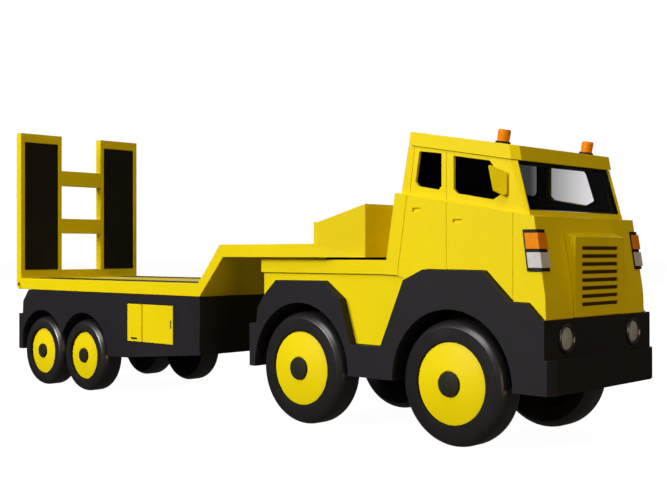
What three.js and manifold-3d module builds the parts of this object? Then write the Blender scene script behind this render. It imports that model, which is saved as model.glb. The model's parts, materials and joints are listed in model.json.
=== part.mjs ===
// Toy tractor unit with a gooseneck low-loader trailer and an upright rear ramp.
// Millimetres, +Z up, +X forward. The origin is on the ground under the middle of the whole model.
import * as THREE from "three";
import { mergeVertices } from "three/addons/utils/BufferGeometryUtils.js";
import { ConvexGeometry } from "three/addons/geometries/ConvexGeometry.js";
import Module from "manifold-3d";

const wasm = await Module();
wasm.setup();

// ---------------------------------------------------------------- driving dimensions
const GAP = 0.3; // running gap between two pieces that touch
const SIDES = [["right", -1], ["left", 1]];

// Wheels
const TRACTOR_WHEEL = {
  radius: 40, inner: 41, outer: 64.5, rim: 26.1, cap: 8.0, rimEdge: 63.2, hubFace: 65.4, shoulder: 3.5,
};
const TRAILER_WHEEL = {
  radius: 31.5, inner: 45.5, outer: 66.5, rim: 20.9, cap: 6.3, rimEdge: 64.3, hubFace: 65.6, shoulder: 2.9,
};
const FRONT_AXLE_X = 221.2;
const REAR_AXLE_X = 88.4;
const TRAILER_AXLES_X = [-181.7, -249.0];
const AXLE_R = 3;
const AXLE_BORE_R = 3.4;
const WHEEL_SIDES = 20; // flats round a wheel, one of them level with the ground

// Tractor: fenders, bumper, load bed
const ARCH_R = 46.4;
const ARCH_SIDES = 40;
const SKIRT_Y = 65.4; // outer face of the black skirts and the bumper
const SKIRT_Z = 38.3; // lower edge of the skirts
const SKIRT_WALL = 2.2;
const FLANGE_Y = 58.9; // inner edge of the skirt's outer flange
const LINER_Y = 30.4; // inner end of the wheel-arch liner, beside the chassis
const PANEL_Y = 58.6; // lower yellow side panel, behind the skirts
const BODY_Y = 60.6; // cab sides and bed rails
const BUMPER_X = 280.1; // rear end of the bumper
const BUMPER_FACE_X = 289.9;
const BAR_FACE_X = 294.1; // lower bar, the front end of the model
const BAR_TOP_Z = 59.3;
const BUMPER_TOP_Z = 82.5;
const CHASSIS_Y = 30;
const CHASSIS_Z = [34, 59.7];
const BED_X = 43.6; // rear end of the bed
const BED_RAIL_Z = [107.7, 117.2];
const BED_FLOOR_Z = 113.9;
const WALL = 2.5;

// Cab
const CAB_BOTTOM_Z = 60;
const BELT_REAR = [173.2, 161.6];
const BELT_FRONT = [280.0, 143.7];
const CAB_KNEE = [287.7, 95.5]; // below it the nose is upright
const CAB_FRONT_FOOT = [288.1, 82.5];
const UPPER_Y = 57.6; // side walls above the belt
const PILLAR_Y = 55.6; // windscreen edge, at the front of the chamfered pillars
const ROOF_Y = 58.8;
const ROOF_NOSE_Y = 54.2;
const ROOF_SLOPE = 0.1772; // drop per millimetre towards the front
const ROOF_REAR = [184.9, 201.1];
const ROOF_UNDER = [183.4, 192.5];
const SCREEN_TOP = [265.4, 177.4];
const SCREEN_FOOT = [274.0, 147.8];
const REAR_WINDOW = [[191.5, 188.0], [209.4, 185.5], [209.4, 164.7], [207.1, 162.3], [190.8, 165.2], [188.0, 168.3]];
const FRONT_WINDOW = [[218.9, 183.3], [246.4, 178.6], [248.9, 175.4], [254.9, 157.6], [248.8, 154.5],
  [221.8, 159.4], [218.9, 162.2]];
const REAR_DOOR_LINE = [[187.4, 190.7], [183.5, 161.2], [175.1, 107.2]]; // from the roof to the bed's ledge
const MIDDLE_DOOR_LINE = [[213.3, 186], [213.3, 155.8], [215.4, 155], [215.4, 111]];
const FRONT_DOOR_LINE = [[265.2, 146.4], [265.2, 92.5]];
const GROOVE = [0.5, 0.5]; // width and depth of a door line
const HANDLES = [[187.7, 194.2, 148.6, 151.2], [220.4, 227.4, 140.7, 143.1]]; // finger recesses: x, x, z, z
const GRILLE_X = 289.7;
const GRILLE_Y = 30;
const SLOT_Y = 22;
const SLOT_TOP_Z = 124.8;
const SLOT_PITCH = 4.914;
const SLOT_HEIGHT = 2.3;
const SLOTS = 8;
const LAMP_Z = [111.0, 135.9];
const LAMP_INNER_Y = 52.5;
const ORANGE_Z = [124.3, 133.8];
const WHITE_Z = [113.1, 122.3];
const FOG_Y = 41.1;
const FOG_Z = 70.8;
const FOG_RING_R = 9;
const FOG_LENS_R = 6.6;
const BEACON_X = 251.0;
const BEACON_Y = 49.9;
const BEACON_R = 3.85;
const BEACON_H = 7.7;

// Coupling and trailer
const KING_PIN_X = REAR_AXLE_X;
const KING_PIN_R = 5;
const KING_BORE_R = 5.4;
const PLATE_TOP_Z = 118.6;
const TRAILER_Y = 67.1;
const DECK_REAR_X = -285.8;
const DECK_Z = [87.9, 98.2];
const NECK_Z = [118.9, 128.4];
const RISER_TOP = [[-22.3, 98.2], [3.8, 128.4]];
const RISER_FOOT = [[-20.1, 87.9], [7.9, 118.9]];
const NOSE_X = [104.5, 108.4, 141.1];
const NOSE_Y = 53.9;
const HEADBOARD_WALL = 3.9;
const DECK_PAD = { x: [-281, -28], y: [26.6, 62.8], deep: 1.2 }; // anti-slip strips, in line with the ramp's
const HEADBOARD_Z = [143.6, 155.7];
const BODY_FRONT_X = -20.1;
const TRAILER_ARCH_R = 37.5;
const SKIN = 3;

// Lockers in the trailer's sides
const LOCKER_X = [-115.4, -53.6];
const LOCKER_SPLIT_X = -95.2;
const LOCKER_Z = [48.0, 79.8];
const LOCKER_INNER_Y = 46;
const PANEL_THICK = 2;
const PANEL_GAP = 0.35; // from the split to the door and to the flap
const FINGER_DEEP = 0.9; // depth of the finger slots in the panels

// Ramp
const RAMP_HINGE = [-290.1, 92.0];
const RAMP_THICK = 8;
const RAMP_TOP_Z = 236.6;
const PLANK_Y = 22.5; // inner edge of each plank
const RAMP_BARS_Z = [[141.4, 155.8], [188.3, 202.7]];
const RAMP_FOOT_Z = 105.7;
const PAD_Y = [26.6, 62.8];
const PAD_Z = [105.7, 228.3];
const PAD_DEPTH = 2;
const EAR_Y = [34, 40];
const PIN_R = 1.6;
const PIN_BORE_R = 1.95;

// ---------------------------------------------------------------- materials
const plastic = (color, roughness) => new THREE.MeshStandardMaterial({ color, roughness, metalness: 0 });
const YELLOW = plastic(0xf0d91c, 0.42);
const BLACK = plastic(0x2b292d, 0.5);
const TYRE = plastic(0x18181a, 0.35);
const CAP = plastic(0x2c2b27, 0.5);
const ORANGE = plastic(0xf28a12, 0.3);
const WHITE = plastic(0xdedcdc, 0.3);
const GLASS = new THREE.MeshStandardMaterial({ color: 0x22242a, roughness: 0.08, opacity: 0.4, transparent: true });
const STEEL = new THREE.MeshStandardMaterial({ color: 0x8d8f92, roughness: 0.35, metalness: 1 });

// ---------------------------------------------------------------- solids from three.js geometries
function solid(geometry) {
  const bare = geometry.index ? geometry.toNonIndexed() : geometry.clone();
  for (const name of Object.keys(bare.attributes)) if (name !== "position") bare.deleteAttribute(name);
  const merged = mergeVertices(bare, 1e-3);
  const all = merged.index.array;
  const triangles = [];
  for (let i = 0; i < all.length; i += 3) {
    const [a, b, c] = [all[i], all[i + 1], all[i + 2]];
    if (a !== b && b !== c && c !== a) triangles.push(a, b, c);
  }
  const build = (list) => new wasm.Manifold(new wasm.Mesh({
    numProp: 3,
    vertProperties: new Float32Array(merged.attributes.position.array),
    triVerts: new Uint32Array(list),
  }));
  const made = build(triangles);
  return made.volume() > 0 ? made : build(triangles.reverse());
}

const shapeOf = (points) => new THREE.Shape(points.map(([a, b]) => new THREE.Vector2(a, b)));

// A side outline [x, z] carried across from y0 to y1.
function prismY(points, y0, y1) {
  const g = new THREE.ExtrudeGeometry(shapeOf(points), { depth: y1 - y0, bevelEnabled: false });
  return solid(g.rotateX(Math.PI / 2).translate(0, y1, 0));
}

// A plan outline [x, y] carried up from z0 to z1.
function prismZ(points, z0, z1) {
  const g = new THREE.ExtrudeGeometry(shapeOf(points), { depth: z1 - z0, bevelEnabled: false });
  return solid(g.translate(0, 0, z0));
}

function box(x0, x1, y0, y1, z0, z1) {
  const g = new THREE.BoxGeometry(x1 - x0, y1 - y0, z1 - z0);
  return solid(g.translate((x0 + x1) / 2, (y0 + y1) / 2, (z0 + z1) / 2));
}

// A bar across the model at (x, z). It has a flat underneath, and its flats touch the radius.
function rodY(x, z, radius, y0, y1, sides) {
  const g = new THREE.CylinderGeometry(radius / Math.cos(Math.PI / sides), radius / Math.cos(Math.PI / sides),
    y1 - y0, sides, 1, false, Math.PI / sides);
  return solid(g.translate(x, (y0 + y1) / 2, z));
}

function rodZ(x, y, radius, z0, z1, sides) {
  const g = new THREE.CylinderGeometry(radius, radius, z1 - z0, sides);
  return solid(g.rotateX(Math.PI / 2).translate(x, y, (z0 + z1) / 2));
}

// A profile [radius, height] turned about the Y axis; flats as in rodY. A ring's profile closes on itself.
function turned(profile, sides) {
  const grow = 1 / Math.cos(Math.PI / sides);
  const points = profile.map(([r, h]) => new THREE.Vector2(r * grow, h));
  if (profile[0][0] > 0) points.push(points[0].clone());
  return solid(new THREE.LatheGeometry(points, sides, Math.PI / sides));
}

const hull = (points) => solid(new ConvexGeometry(points.map((p) => new THREE.Vector3(...p))));
const bothSides = (points) => points.flatMap(([x, y, z]) => [[x, y, z], [x, -y, z]]);
const union = (first, ...rest) => rest.reduce((sum, next) => sum.add(next), first);
const cut = (first, ...rest) => rest.reduce((left, next) => left.subtract(next), first);

// A block between two distances from the centre plane, on one side of the model.
const across = (side, near, far) => (side > 0 ? [near, far] : [-far, -near]);

// An outline moved by a distance along its edge normals: inwards when the distance is positive.
function inset(points, distance) {
  const turn = Math.sign(THREE.ShapeUtils.area(points.map(([x, y]) => new THREE.Vector2(x, y))));
  return points.map(([x, y], i) => {
    const [px, py] = points.at(i - 1);
    const [nx, ny] = points[(i + 1) % points.length];
    const before = new THREE.Vector2(x - px, y - py).normalize();
    const after = new THREE.Vector2(nx - x, ny - y).normalize();
    const normalA = new THREE.Vector2(-before.y, before.x);
    const normalB = new THREE.Vector2(-after.y, after.x);
    const miter = normalA.clone().add(normalB).normalize();
    const length = (turn * distance) / miter.dot(normalA);
    return [x + miter.x * length, y + miter.y * length];
  });
}

// ---------------------------------------------------------------- scene graph
const group = new THREE.Group();

function add(parent, name, made, material) {
  const mesh = made.getMesh();
  const position = new Float32Array(mesh.numVert * 3);
  for (let i = 0; i < mesh.numVert; i++) {
    position.set(mesh.vertProperties.subarray(i * mesh.numProp, i * mesh.numProp + 3), i * 3);
  }
  const geometry = new THREE.BufferGeometry()
    .setAttribute("position", new THREE.BufferAttribute(position, 3))
    .setIndex(new THREE.BufferAttribute(mesh.triVerts, 1));
  const node = new THREE.Mesh(geometry, material);
  node.name = name;
  parent.add(node);
}

function groupAt(parent, x, y, z) {
  const made = new THREE.Group();
  made.position.set(x, y, z);
  parent.add(made);
  return made;
}

// ---------------------------------------------------------------- wheels: an axle, two tyres and two rims
// The black wheel body: tread, sidewalls and a web at the back that turns on the axle. The rim sits in its front.
const WEB_BACK = 3; // the web's back, in from the tyre's inner sidewall
const WEB_THICK = 2.2;

function tyre(w, side) {
  const { radius: r, rim, shoulder: s } = w;
  const bore = rim + GAP;
  const at = (y) => side * y;
  const back = w.inner + WEB_BACK;
  return turned([[AXLE_BORE_R, at(back)], [bore - 3, at(back)], [bore, at(w.inner)], [r - s, at(w.inner)],
    [r, at(w.inner + s)], [r, at(w.outer - s)], [r - s, at(w.outer)], [bore, at(w.outer)],
    [bore, at(back + WEB_THICK)], [AXLE_BORE_R, at(back + WEB_THICK)]], WHEEL_SIDES);
}

function rim(w, side) {
  const flange = w.rim - 2.6;
  const boss = w.cap - 1;
  const back = w.inner + WEB_BACK + WEB_THICK + GAP;
  const plate = 2.2; // thickness of the coned disc
  const at = (y) => side * y;
  return turned([[AXLE_BORE_R, at(back)], [boss, at(back)], [boss, at(w.hubFace - plate)],
    [flange, at(w.rimEdge - plate)], [flange, at(back)], [w.rim, at(back)], [w.rim, at(w.rimEdge)],
    [w.cap + GAP, at(w.hubFace)], [AXLE_BORE_R, at(w.hubFace)]], WHEEL_SIDES);
}

function axle(w) {
  const head = w.hubFace + GAP;
  const half = [[0, head + 1.2], [w.cap - 0.6, head + 1.2], [w.cap, head], [AXLE_R, head]];
  const otherHalf = half.map(([r, y]) => [r, -y]);
  return turned([...otherHalf, ...half.reverse()], 12);
}

function wheelSet(parent, name, w, x) {
  const set = groupAt(parent, x, 0, w.radius);
  add(set, `${name}_axle`, axle(w), CAP);
  for (const [label, side] of SIDES) {
    add(set, `${name}_tyre_${label}`, tyre(w, side), TYRE);
    add(set, `${name}_rim_${label}`, rim(w, side), YELLOW);
  }
}

const tractor = new THREE.Group();
const trailer = new THREE.Group();
group.add(tractor, trailer);
wheelSet(tractor, "front", TRACTOR_WHEEL, FRONT_AXLE_X);
wheelSet(tractor, "rear", TRACTOR_WHEEL, REAR_AXLE_X);
wheelSet(trailer, "trailer_front", TRAILER_WHEEL, TRAILER_AXLES_X[0]);
wheelSet(trailer, "trailer_rear", TRAILER_WHEEL, TRAILER_AXLES_X[1]);

// ---------------------------------------------------------------- tractor chassis, skirts and bumper
const TRACTOR_AXLES = [FRONT_AXLE_X, REAR_AXLE_X];
const archCut = (radius, y0, y1, sides = ARCH_SIDES) => union(
  ...TRACTOR_AXLES.map((x) => rodY(x, TRACTOR_WHEEL.radius, radius, y0, y1, sides)));

const chassisPost = (x) => box(x, x + 5, -CHASSIS_Y, CHASSIS_Y, CHASSIS_Z[1] - 1, BED_FLOOR_Z - WALL - GAP);
add(tractor, "chassis", cut(
  union(box(BED_X + 4, 276, -CHASSIS_Y, CHASSIS_Y, ...CHASSIS_Z), chassisPost(56), chassisPost(118)),
  box(BED_X, 270, -CHASSIS_Y + SKIN, CHASSIS_Y - SKIN, CHASSIS_Z[0] - 1, CHASSIS_Z[1] - SKIN),
  archCut(AXLE_BORE_R, -CHASSIS_Y - 1, CHASSIS_Y + 1, 12),
), BLACK);

// The skirt's outline, without its wheel arches: mud flap, rear fender, sill, front fender, bumper end.
const SKIRT = [[35.8, SKIRT_Z], [35.8, 69.9], [43.1, 70.2], [44.4, 81.7], [51.2, 90.9], [63.9, 102.3],
  [110.4, 102.6], [127.6, 90.4], [137.1, 59.6], [164.2, 60.1], [183.8, 104.3], [199.8, 111.4],
  [246.1, 111.0], [265.9, 92.4], [277.0, 92.2], [286.9, BUMPER_TOP_Z], [286.9, SKIRT_Z]];

function skirt(side) {
  const tray = cut(
    prismY(inset(SKIRT, SKIRT_WALL), ...across(side, FLANGE_Y - 1, SKIRT_Y - SKIRT_WALL)),
    archCut(ARCH_R + SKIRT_WALL, -SKIRT_Y, SKIRT_Y));
  const flange = cut(prismY(SKIRT, ...across(side, FLANGE_Y, SKIRT_Y)), tray);
  const liner = cut(
    archCut(ARCH_R + WALL, ...across(side, LINER_Y, FLANGE_Y + 0.6)),
    box(-50, 300, -SKIRT_Y, SKIRT_Y, -20, SKIRT_Z));
  return cut(union(flange, liner), archCut(ARCH_R, -SKIRT_Y - 1, SKIRT_Y + 1));
}
// Side outline of the cab below the belt.
const LEDGE_END = [175.1, 107.2]; // from here the ledge under the cab drops to the fender
const CAB_LOWER = [[186, CAB_BOTTOM_Z], [186, 103.4], [183.8, 103.7], LEDGE_END, [163.7, 107.5], [165.5, 117.8],
  BELT_REAR, BELT_FRONT, CAB_KNEE, CAB_FRONT_FOOT, [286.3, 82.2], [286.3, CAB_BOTTOM_Z]];
const cabFaceX = (z) => (z < CAB_KNEE[1] ? CAB_FRONT_FOOT[0] : CAB_KNEE[0]
  + ((z - CAB_KNEE[1]) * (BELT_FRONT[0] - CAB_KNEE[0])) / (BELT_FRONT[1] - CAB_KNEE[1]));

const BUMPER = [[BUMPER_X, SKIRT_Z], [BAR_FACE_X, SKIRT_Z], [BAR_FACE_X, BAR_TOP_Z], [BUMPER_FACE_X, BAR_TOP_Z],
  [BUMPER_FACE_X, BUMPER_TOP_Z], [286.9, BUMPER_TOP_Z], [BUMPER_X, 89]];
const INNER_SKIRT_Y = SKIRT_Y - SKIN;

// The lower bar's corner, cut back from 58.5 at its face to 65.4 at its side.
const barCorner = (side) => prismZ(
  [[BAR_FACE_X - 2.5, side * SKIRT_Y], [BAR_FACE_X, side * 58.5], [BAR_FACE_X + 5, side * 58.5],
    [BAR_FACE_X + 5, side * (SKIRT_Y + 5)], [BAR_FACE_X - 2.5, side * (SKIRT_Y + 5)]], 0, BAR_TOP_Z + 0.01);

const onBumper = (made, side) => made.rotate([0, 0, -90]).translate([BUMPER_FACE_X, side * FOG_Y, FOG_Z]);
const fogRecess = (side) => onBumper(turned([[0, -1.2], [FOG_RING_R + GAP, -1.2], [FOG_RING_R + GAP, 3],
  [0, 3]], 16), side);

// One black moulding: the skirts with their fenders on both sides, and the bumper that joins them in front.
add(tractor, "lower_body", cut(
  union(prismY(BUMPER, -SKIRT_Y, SKIRT_Y), skirt(1), skirt(-1)),
  prismY([[279, 30], [286.6, 30], [286.6, 79.5], [279, 87]], -INNER_SKIRT_Y, INNER_SKIRT_Y),
  box(279, BAR_FACE_X - SKIN, -INNER_SKIRT_Y + 5, INNER_SKIRT_Y - 5, 30, BAR_TOP_Z - SKIN),
  box(279, 286.3 + GAP, -BODY_Y - GAP, BODY_Y + GAP, CAB_BOTTOM_Z - GAP, 100),
  box(279, BAR_FACE_X, -BODY_Y - GAP, BODY_Y + GAP, BUMPER_TOP_Z - GAP, 100),
  barCorner(1), barCorner(-1), fogRecess(1), fogRecess(-1),
), BLACK);

for (const [label, side] of SIDES) {
  add(tractor, `fog_ring_${label}`, onBumper(turned([[FOG_LENS_R + GAP, -0.9], [FOG_LENS_R + GAP, 0.9],
    [FOG_LENS_R + 0.9, 1.5], [FOG_RING_R - 0.5, 1.5], [FOG_RING_R, 0.9], [FOG_RING_R, -0.9]], 16), side), BLACK);
  add(tractor, `fog_lamp_${label}`, onBumper(turned([[0, -0.9], [FOG_LENS_R, -0.9], [FOG_LENS_R, 0.7],
    [FOG_LENS_R * 0.7, 1.1], [0, 1.3]], 16), side), WHITE);
}

// ---------------------------------------------------------------- load bed
const PANEL_END_X = 183.5; // the lower panel's front end, behind the front fender
const bedBlock = union(
  prismY([[BED_X, BED_RAIL_Z[0]], [BED_X, BED_RAIL_Z[1]], [168, BED_RAIL_Z[1]], [168, BED_RAIL_Z[0]]],
    -BODY_Y, BODY_Y),
  box(BED_X + 1, PANEL_END_X, -PANEL_Y, PANEL_Y, CAB_BOTTOM_Z, BED_RAIL_Z[0] + 0.5));
const bedHollow = union(
  box(BED_X + 3.5, 188, -PANEL_Y + WALL, PANEL_Y - WALL, CAB_BOTTOM_Z - 1, 101),
  box(BED_X + 3.5, 160, -PANEL_Y + WALL, PANEL_Y - WALL, 100, BED_FLOOR_Z - WALL));
const bedTray = box(BED_X + 5, 160, -BODY_Y + 5, BODY_Y - 5, BED_FLOOR_Z, BED_RAIL_Z[1] + 1);
const bodyArches = archCut(ARCH_R + WALL + GAP, -70, 70);

// ---------------------------------------------------------------- fifth wheel
const plate = groupAt(tractor, KING_PIN_X, 0, 0);
const plateRing = turned([[KING_BORE_R, -2.2], [24, -2.2], [26, -0.6], [26, 2.2], [KING_BORE_R, 2.2]], 32);
add(plate, "fifth_wheel_plate", plateRing.rotate([90, 0, 0]).translate([0, 0, PLATE_TOP_Z - 2.2]), BLACK);

// ---------------------------------------------------------------- cab shell
const beltZ = (x) => BELT_REAR[1] + ((x - BELT_REAR[0]) * (BELT_FRONT[1] - BELT_REAR[1]))
  / (BELT_FRONT[0] - BELT_REAR[0]);
const roofUnderZ = (x) => ROOF_UNDER[1] - ROOF_SLOPE * (x - ROOF_UNDER[0]);
const roofTopZ = (x) => ROOF_REAR[1] - ROOF_SLOPE * (x - ROOF_REAR[0]);

// A ring of six plan points, [x, y] for the rear, the side's front and the nose, at heights from a rule.
const ring = (points, height) => bothSides(points.map(([x, y]) => [x, y, height(x)]));
const upperCab = hull([
  ...ring([[176.0, UPPER_Y], [271.8, UPPER_Y], [275.0, 56.3]], (x) => beltZ(x) - 1),
  ...ring([[182.4, UPPER_Y], [261.5, UPPER_Y], [265.4, PILLAR_Y]], (x) => roofUnderZ(x) - GAP),
]);
const UPPER_HOLLOW = [[178.4, 150], [178.4, 160.5], [185.1, 194], [186, 205], [290, 205], [290, 147.6],
  [270.5, 147.6], [269, 141]];
const LOWER_HOLLOW_Y = 56.3;
const skirtRoom = prismY(inset(SKIRT, -GAP), ...across(1, PANEL_Y, BODY_Y + 1));
const windows = (margin) => [REAR_WINDOW, FRONT_WINDOW].flatMap((outline) =>
  SIDES.map(([, side]) => prismY(inset(outline, -margin), ...across(side, 50, 62))));

const CAB_HOLLOW = [[166, CAB_BOTTOM_Z - 3], [166, 110], [168.2, 117.8], [175.4, 159], [178, 160], [277.8, 142],
  [285.3, 95], [285.3, CAB_BOTTOM_Z - 3]];
const lowerHollow = cut(
  prismY(CAB_HOLLOW, -LOWER_HOLLOW_Y + 0.3, LOWER_HOLLOW_Y - 0.3),
  rodY(FRONT_AXLE_X, TRACTOR_WHEEL.radius, ARCH_R + WALL + GAP + 2.3, -60, 60, ARCH_SIDES));
const grilleOpening = box(270, 300, -24, 24, 86.5, 128.5);

// A groove along a line of side points, cut into a side wall whose outer face is at a distance y.
const groove = (line, y) => line.slice(1).flatMap((end, i) => {
  const start = line[i];
  const along = new THREE.Vector2(end[0] - start[0], end[1] - start[1]).setLength(GROOVE[0] / 2);
  const strip = [[start[0] + along.y, start[1] - along.x], [end[0] + along.y, end[1] - along.x],
    [end[0] - along.y, end[1] + along.x], [start[0] - along.y, start[1] + along.x]];
  return SIDES.map(([, side]) => prismY(strip, ...across(side, y - GROOVE[1], y + 1)));
});
const doorLines = [
  ...groove(REAR_DOOR_LINE.slice(0, 2), UPPER_Y), ...groove(REAR_DOOR_LINE.slice(1), BODY_Y),
  ...groove(MIDDLE_DOOR_LINE.slice(0, 2), UPPER_Y), ...groove(MIDDLE_DOOR_LINE.slice(2), BODY_Y),
  ...groove(FRONT_DOOR_LINE, BODY_Y)];
const handleRecesses = HANDLES.flatMap(([x0, x1, z0, z1]) =>
  SIDES.map(([, side]) => box(x0, x1, ...across(side, BODY_Y - 1.5, BODY_Y + 1), z0, z1)));

// One yellow moulding: the cab and the load bed behind it.
add(tractor, "cab_and_bed", cut(
  union(prismY(CAB_LOWER, -BODY_Y, BODY_Y), upperCab, bedBlock),
  skirtRoom, skirtRoom.mirror([0, 1, 0]),
  bedHollow, bedTray, lowerHollow,
  prismY(UPPER_HOLLOW, -55.4, 55.4),
  bodyArches,
  grilleOpening,
  rodZ(KING_PIN_X, 0, KING_BORE_R, 100, 120, 24),
  ...doorLines, ...handleRecesses,
  ...windows(0),
), YELLOW);

// ---------------------------------------------------------------- roof, liner and glass
const roofRing = (drop, inward) => [
  ...ring([[ROOF_REAR[0] + inward, ROOF_Y - inward], [261.2, ROOF_Y - inward], [265.8 - inward, ROOF_NOSE_Y]],
    (x) => roofTopZ(x) - drop),
  ...ring([[ROOF_UNDER[0] + inward, ROOF_Y - inward], [263.0, ROOF_Y - inward], [267.6 - inward, ROOF_NOSE_Y]],
    (x) => roofUnderZ(x) - (inward ? 1 : 0)),
];
add(tractor, "cab_roof", cut(hull(roofRing(0, 0)), hull(roofRing(2.6, 4.5))), YELLOW);

const LINER_OUT = [[176.3, 100], [176.3, 150], [179.2, 161.5], [185.3, 191.3], [261.3, 177.7], [269.2, 148.4],
  [267.6, 139], [267.6, 100]];
const LINER_IN = [[177.8, 101.5], [177.8, 150], [180.7, 161.5], [186.7, 189.6], [262, 176.0], [290, 171],
  [290, 141.5], [263.6, 141.5], [263.6, 101.5]];
const SEAT = [[178.5, 101], [222, 101], [222, 118], [218, 121], [198, 122], [193, 150], [186, 152], [181, 150]];
const SEAT_HOLLOW = [[181, 99], [219.5, 99], [219.5, 117], [217, 118.5], [196, 119.5], [191, 148.8], [185, 149.5]];
add(tractor, "cab_interior", cut(
  union(
    cut(prismY(LINER_OUT, -53.4, 53.4), prismY(LINER_IN, -51.9, 51.9)),
    prismY(SEAT, -46, 46)),
  prismY(SEAT_HOLLOW, -43.5, 43.5),
  ...windows(0.6),
), BLACK);

const screenBack = ([x, z]) => [x - 1.5, z];
add(tractor, "windscreen", prismY([SCREEN_TOP, SCREEN_FOOT, screenBack(SCREEN_FOOT), screenBack(SCREEN_TOP)],
  -55.1, 55.1), GLASS);
const PANE = [[186.8, 166.5], [189.5, 189.6], [247.5, 179.6], [251.5, 176.5], [257.3, 157], [250.5, 152.2],
  [190, 162.6]];
for (const [label, side] of SIDES) {
  add(tractor, `side_glass_${label}`, prismY(PANE, ...across(side, 53.7, 55.1)), GLASS);
}

// ---------------------------------------------------------------- grille
const slotZ = (i) => SLOT_TOP_Z - i * SLOT_PITCH;
const slots = Array.from({ length: SLOTS }, (_, i) =>
  box(270, 300, -SLOT_Y, SLOT_Y, slotZ(i) - SLOT_HEIGHT / 2, slotZ(i) + SLOT_HEIGHT / 2));
const GRILLE_FACE = 1; // thickness of the slotted face
add(tractor, "grille_housing", cut(
  prismY([[GRILLE_X, 83], [GRILLE_X, 131.7], [cabFaceX(134.5) + GAP, 134.5], [cabFaceX(95.5) + GAP, 95.5],
    [cabFaceX(83) + GAP, 83]], -GRILLE_Y, GRILLE_Y),
  box(270, GRILLE_X - GRILLE_FACE, -24, 24, 86.5, 128.5),
  ...slots,
), YELLOW);
add(tractor, "grille_insert", box(283.5, GRILLE_X - GRILLE_FACE - 0.2, -23.7, 23.7, 86.8, 128.2), BLACK);

// ---------------------------------------------------------------- lamps that wrap the cab's front corners
// A block round the corner, standing proud of the cab by a distance, from its leaning rear edge forwards.
function lampBlock(side, proud, z0, z1, trim, depth) {
  const rearX = (z) => 275.7 - ((z - LAMP_Z[0]) * 3.3) / (LAMP_Z[1] - LAMP_Z[0]) + trim;
  const level = (z) => [[rearX(z), LAMP_INNER_Y], [rearX(z), BODY_Y + proud], [cabFaceX(z) + proud, BODY_Y + proud],
    [cabFaceX(z) + proud, LAMP_INNER_Y]].map(([x, y]) => [x, side * y, z]);
  return cut(hull([...level(z0), ...level(z1)]),
    prismY([[200, z0 - 1], [200, z1 + 1], [cabFaceX(z1 + 1) + depth, z1 + 1], [cabFaceX(z0 - 1) + depth, z0 - 1]],
      ...across(side, 0, BODY_Y + depth)));
}
const HOUSING_PROUD = 0.9;
const LENS_PROUD = 1.7;
for (const [label, side] of SIDES) {
  const lens = (z) => lampBlock(side, LENS_PROUD, ...z, 1.5, HOUSING_PROUD + GAP);
  add(tractor, `lamp_housing_${label}`, lampBlock(side, HOUSING_PROUD, ...LAMP_Z, 0, GAP), BLACK);
  add(tractor, `indicator_lens_${label}`, lens(ORANGE_Z), ORANGE);
  add(tractor, `headlamp_lens_${label}`, lens(WHITE_Z), WHITE);
}

// ---------------------------------------------------------------- mirrors and beacons
// The mirror is a plate that stands at 45 degrees in plan; its outline is [distance from the pillar, z].
const MIRROR = [[0.4, 157.4], [2.4, 156.6], [8.5, 159.6], [11.4, 174.5], [10.4, 175.0], [0.4, 170.3]];
for (const [label, side] of SIDES) {
  const arm = groupAt(tractor, 259.7, side * 58.3, 0);
  arm.rotation.z = side * 0.75 * Math.PI;
  add(arm, `mirror_${label}`, prismY(MIRROR, -1, 1), YELLOW);
}

for (const [label, side] of SIDES) {
  const stand = groupAt(tractor, BEACON_X, side * BEACON_Y, roofTopZ(BEACON_X) + GAP + 0.1);
  stand.rotation.y = Math.atan(ROOF_SLOPE);
  const upright = (profile) => turned(profile, 16).rotate([90, 0, 0]);
  add(stand, `beacon_base_${label}`, upright([[0, 0], [4.75, 0], [4.75, 0.6], [4.3, 1], [0, 1]]), BLACK);
  add(stand, `beacon_lens_${label}`, upright([[0, 1 + GAP], [BEACON_R, 1 + GAP], [BEACON_R, BEACON_H * 0.75],
    [BEACON_R * 0.88, BEACON_H + 0.8], [BEACON_R * 0.6, BEACON_H + 1.3], [0, BEACON_H + 1.3]]), ORANGE);
}

// ---------------------------------------------------------------- king pin
add(group, "king_pin", rodZ(KING_PIN_X, 0, KING_PIN_R, 109, 125.1, 24), STEEL);

// ---------------------------------------------------------------- trailer bed: deck, riser and gooseneck
const NECK_END = NOSE_X[2];
const TRAILER_BED = [[DECK_REAR_X, DECK_Z[0]], [DECK_REAR_X, DECK_Z[1]], ...RISER_TOP, [NECK_END, NECK_Z[1]],
  [NECK_END, NECK_Z[0]], RISER_FOOT[1], RISER_FOOT[0]];
const nosePlan = (inward) => [[NOSE_X[1] - inward * 0.2, TRAILER_Y - inward], [NECK_END - inward, NOSE_Y - inward * 0.7],
  [NECK_END - inward, -NOSE_Y + inward * 0.7], [NOSE_X[1] - inward * 0.2, -TRAILER_Y + inward]];
const BED_PLAN = [[-400, TRAILER_Y], ...nosePlan(0), [-400, -TRAILER_Y]];
// The deck and the neck are hollow from below; the riser between them is solid.
const BED_HOLLOWS = [[DECK_REAR_X + SKIN, -26, 80, DECK_Z[1] - SKIN], [12, 103, 110, NECK_Z[1] - SKIN]];
const RIB_X = 106;
const [hingeX, hingeZ] = RAMP_HINGE;

const ear = (side) => cut(
  union(
    box(hingeX, DECK_REAR_X + 1, ...across(side, ...EAR_Y), hingeZ - 3.7, hingeZ + 3.7),
    rodY(hingeX, hingeZ, 3.7, ...across(side, ...EAR_Y), 16)),
  rodY(hingeX, hingeZ, PIN_BORE_R, -70, 70, 12));

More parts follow.
